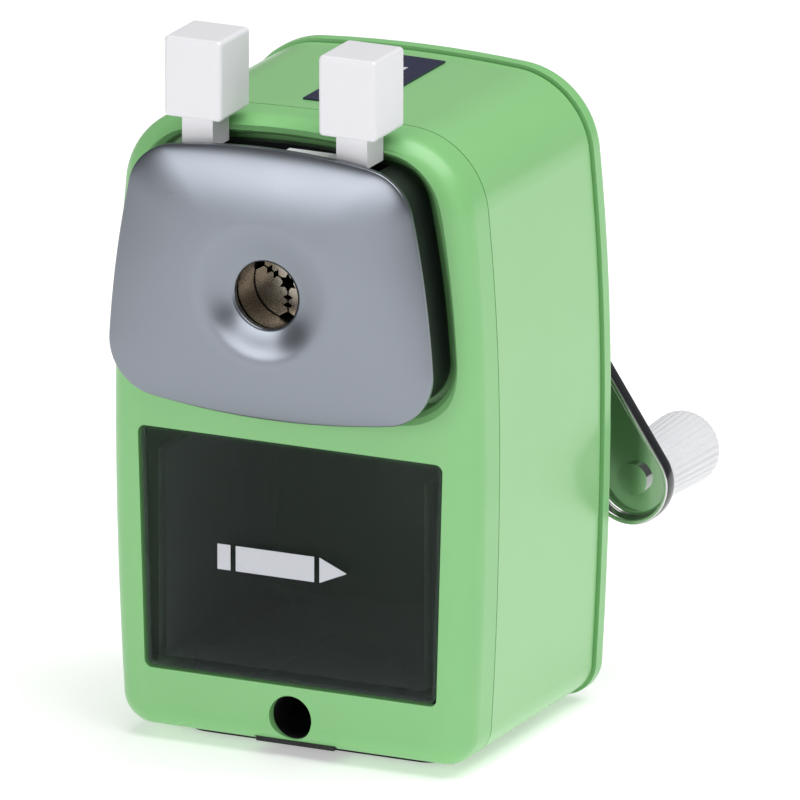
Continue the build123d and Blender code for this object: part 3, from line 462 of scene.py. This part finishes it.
def crank_arm(dark_reflection, plating):
    """Rings of teardrops from the web's inside, round the folded rim, to the web's outside."""
    count, bend_steps = 192, 6
    low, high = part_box("crank_arm")
    rivet_low, rivet_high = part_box("knob_rivet")
    nut_low, nut_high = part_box("crank_nut")
    hub = ((nut_low.x + nut_high.x) / 2, (nut_low.z + nut_high.z) / 2)
    tip = ((rivet_low.x + rivet_high.x) / 2, (rivet_low.z + rivet_high.z) / 2)
    hub_r, tip_r = 12 * MM, 7.8 * MM
    sheet, bend = 1.0 * MM, 1.7 * MM
    front, rear = low.y, high.y
    inner_bend = bend - sheet
    quarter = [pi / 2 * i / bend_steps for i in range(bend_steps + 1)]
    outer = [(-bend * (1 - cos(a)), rear - bend + bend * sin(a)) for a in quarter]
    inner = [
        (-sheet - inner_bend * (1 - cos(a)), rear - bend + inner_bend * sin(a))
        for a in reversed(quarter)
    ]
    lip = 0.3 * MM
    rim = [(-sheet, front + lip), (-sheet + lip * 0.3, front + lip * 0.3), (-sheet + lip, front)]
    rim += [(-lip, front), (-lip * 0.3, front + lip * 0.3), (0.0, front + lip)]
    profile = inner + rim + outer
    verts = []
    for grow, y in profile:
        verts += [(x, y, z) for x, z in teardrop(hub, tip, hub_r, tip_r, grow, count)]
    faces = strips(len(profile), count)
    last = (len(profile) - 1) * count
    arm = mesh_piece("crank_arm_pressing", verts, faces, plating)
    arm.data.materials.append(dark_reflection)
    # The outside faces take the near-black painted reflection; the inside faces keep the bright plating.
    reflection_from = (len(inner) + len(rim) - 2) * count
    for face in arm.data.polygons:
        if min(face.vertices) >= reflection_from:
            face.material_index = 1
    shape = bmesh.new()
    shape.from_mesh(arm.data)
    shape.verts.ensure_lookup_table()
    web = shape.faces.new([shape.verts[last + j] for j in range(count)])
    web.material_index = 1
    inside = shape.faces.new([shape.verts[count - 1 - j] for j in range(count)])
    inside.material_index = 0
    bmesh.ops.recalc_face_normals(shape, faces=shape.faces)
    shape.to_mesh(arm.data)
    shape.free()
    return arm


def painted_dark_reflection():
    """Gloss near-black over steel, a painted dark reflection of the plating, with a fine dust nib here and
    there and soft rub marks.
    """
    nib_mm, rub_mm = 1.2, 8.0
    m, tree, shader, place = new_material("gloss_black_painted_reflection", Base_Color=linear("#111418"), Coat_Weight=0.4)
    dull_between(tree, shader, noise(tree, place, rub_mm, 5.0), 0.3, 0.7, 0.16, 0.28)
    bump_with(tree, shader, noise(tree, place, nib_mm, 3.0), 0.06, 0.04)
    return m


bright_plate = plated_steel("bright_zinc_plate", "#C4C6C4", 0.1, streak_mm=2.0, stretch=(1.0, 1.0, 1.0))
# The arm's outside gets the painted dark reflection and its inside the bright plating.
arm = crank_arm(painted_dark_reflection(), bright_plate)
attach(arm, "crank")
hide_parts("crank_arm")
finish_with(bright_plate, "knob_rivet", "crank_shaft", "crank_washer", "crank_nut")

# ---- Crank knob ----------------------------------------------------------------------------
# White ABS, turned loosely on its rivet. Fine ribs run along the grip from a smooth collar
# beside the arm to a softly rounded end.


def crank_knob(material):
    """Rings from the bore, over the collar and the ribbed grip, to the well round the rivet."""
    ribs, per_rib, grip_rows, end_rows = 32, 8, 14, 8
    low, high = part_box("crank_knob")
    x0, z0 = (low.x + high.x) / 2, (low.z + high.z) / 2
    length = high.y - low.y
    end_r = (high.x - low.x) / 2
    collar_r, neck_r, bore_r, well_r = 5.2 * MM, end_r - 0.75 * MM, 2.3 * MM, 2.6 * MM
    chamfer, collar_end, neck_start, grip_start = 0.3 * MM, 1.4 * MM, 2.4 * MM, 3.0 * MM
    round_end, rib_deep, well_deep = 2.6 * MM, 0.22 * MM, 0.6 * MM
    stations = [(bore_r, 0.0, 0.0), (collar_r - chamfer, 0.0, 0.0), (collar_r, chamfer, 0.0)]
    stations += [(collar_r, collar_end, 0.0), (neck_r - chamfer, collar_end + 0.5 * MM, 0.0)]
    stations.append((neck_r, neck_start, 0.3))
    for i in range(grip_rows):
        f = i / (grip_rows - 1)
        y = grip_start + (length - grip_start - round_end) * f
        stations.append((neck_r + (end_r - neck_r) * f, y, 1.0))
    for i in range(1, end_rows + 1):
        a = pi / 2 * i / end_rows
        r = end_r - round_end * 0.9 * (1 - cos(a))
        stations.append((r, length - round_end + round_end * sin(a), 1.0 - i / end_rows))
    stations += [(end_r * 0.45, length, 0.0), (well_r, length, 0.0), (well_r, length - well_deep, 0.0)]
    count = ribs * per_rib
    verts = []
    for r, y, ribbed in stations:
        for a in (2 * pi * j / count for j in range(count)):
            groove = rib_deep * ribbed * (0.5 + 0.5 * cos(ribs * a)) ** 2
            verts.append((x0 + (r - groove) * cos(a), low.y + y, z0 + (r - groove) * sin(a)))
    rows = len(stations)
    last = (rows - 1) * count
    faces = [face[::-1] for face in strips(rows, count)]
    faces.append(tuple(last + j for j in range(count)))
    faces.append(tuple(count - 1 - j for j in range(count)))
    knob = mesh_piece("crank_knob_grip", verts, faces, material)
    shape = bmesh.new()
    shape.from_mesh(knob.data)
    bmesh.ops.recalc_face_normals(shape, faces=shape.faces)
    shape.to_mesh(knob.data)
    shape.free()
    return knob


knob = crank_knob(white_abs)
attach(knob, "knob")
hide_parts("crank_knob")

# ---- Top label and printed marks -----------------------------------------------------------
# A navy film label on the roof and a pad-printed sign on the drawer's front. Both show a plain
# pencil sign in pale grey ink.


def printed_film():
    """Navy vinyl film with a slightly uneven gloss."""
    weave_mm = 1.5
    m, tree, shader, place = new_material("printed_film", Base_Color=linear("#14193A"), Roughness=0.3)
    dull_between(tree, shader, noise(tree, place, weave_mm, 4.0), 0.3, 0.7, 0.25, 0.36)
    return m


finish_with(printed_film(), "top_label")


def pale_ink():
    """Matt pad-printing ink that covers a little unevenly."""
    dot_mm = 0.4
    m, tree, shader, place = new_material("pale_grey_ink", Base_Color=linear("#C3C5CC"), Roughness=0.5)
    two_tone(tree, shader, noise(tree, place, dot_mm, 2.0), linear("#BFC1C8"), linear("#C9CBD1"))
    return m


def pencil_sign(name, length, width, place, material):
    """A flat pencil of printed ink. place turns a way along and across it into a point."""
    film = 0.03 * MM
    point = width * 1.15
    band = width * 0.55
    gap = width * 0.22
    shapes = [
        [(0, -0.5), (band, -0.5), (band, 0.5), (0, 0.5)],
        [(band + gap, -0.5), (length - point - gap, -0.5), (length - point - gap, 0.5), (band + gap, 0.5)],
        [(length - point, -0.5), (length, 0.0), (length - point, 0.5)],
    ]
    verts, faces = [], []
    for shape in shapes:
        first = len(verts)
        verts += [place(along - length / 2, across * width) for along, across in shape]
        faces.append(tuple(first + i for i in range(len(shape))))
    sign = mesh_piece(name, verts, faces, material, smooth=False)
    thick = sign.modifiers.new("ink", "SOLIDIFY")
    thick.thickness = film
    thick.offset = 0.0
    return sign


ink = pale_ink()
low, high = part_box("top_label")
label_mid = (low + high) / 2
roof = pencil_sign(
    "label_pencil_sign",
    18 * MM,
    4.5 * MM,
    lambda a, c: (label_mid.x + c, label_mid.y - a, high.z + 0.02 * MM),
    ink,
)
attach(roof, "housing")

low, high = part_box("shavings_drawer")
mid_z = low.z + (high.z - low.z) * 0.5
window = pencil_sign(
    "drawer_pencil_sign",
    25 * MM,
    4.6 * MM,
    lambda a, c: (a - 1.5 * MM, low.y - 0.02 * MM, mid_z + c),
    ink,
)
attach(window, "drawer")

# ---- Floor, light and camera ---------------------------------------------------------------
# A plain white table under a wide soft box, with a weak box at the right and a low one in front
# that the chrome mirrors. A long lens looks from a little above and right of the front.


def floor():
    """A matt white table top that glows a little, so that it stays clean under the soft light."""
    size, grain_mm = 4.0, 4.0
    corners = [(-size, -size, 0), (size, -size, 0), (size, size, 0), (-size, size, 0)]
    glow = {"Emission_Color": (1, 1, 1, 1), "Emission_Strength": 0.4}
    m, tree, shader, place = new_material("white_table", Base_Color=linear("#F4F4F4"), **glow)
    dull_between(tree, shader, noise(tree, place, grain_mm, 2.0), 0.0, 1.0, 0.55, 0.65)
    return mesh_piece("table_top", corners, [(0, 1, 2, 3)], m, smooth=False)


floor()


def soft_light(name, place, aim, width, height, watts):
    """A rectangular soft box at a place, turned to face the aim."""
    lamp = bpy.data.lights.new(name, "AREA")
    lamp.shape = "RECTANGLE"
    lamp.size, lamp.size_y, lamp.energy = width, height, watts
    holder = bpy.data.objects.new(name, lamp)
    holder.location = place
    holder.rotation_euler = (Vector(aim) - Vector(place)).to_track_quat("-Z", "Y").to_euler()
    bpy.context.scene.collection.objects.link(holder)


target = Vector((0, 0, 0.06))
soft_light("overhead_box", (0.3, 0.0, 1.05), target, 1.1, 1.1, 12.5)
soft_light("right_box", (0.95, -0.45, 0.5), target, 0.7, 0.9, 0.6)
soft_light("front_box", (-0.24, -0.8, 0.27), target, 0.62, 0.3, 1.9)

world = bpy.data.worlds.new("white_room")
world.use_nodes = True
world.node_tree.nodes["Background"].inputs["Color"].default_value = (1, 1, 1, 1)
world.node_tree.nodes["Background"].inputs["Strength"].default_value = 0.2
bpy.context.scene.world = world
bpy.context.scene.view_settings.view_transform = "Standard"

azimuth, elevation = radians(25.5), radians(16.6)
back = Vector((sin(azimuth) * cos(elevation), -cos(azimuth) * cos(elevation), sin(elevation)))
right = Vector((cos(azimuth), sin(azimuth), 0))
up = right.cross(-back)
view_width = 140.35 * MM
distance = 4.0
aim = Vector((-0.44, 17.42, 53.37)) * MM
lens = bpy.data.cameras.new("camera")
lens.sensor_width = 36
lens.lens = 36 * distance / view_width
lens.clip_start = 1.0
lens.clip_end = 40
eye = bpy.data.objects.new("camera", lens)
eye.location = aim + back * distance
eye.rotation_euler = (-back).to_track_quat("-Z", "Y").to_euler()
bpy.context.scene.collection.objects.link(eye)
bpy.context.scene.camera = eye
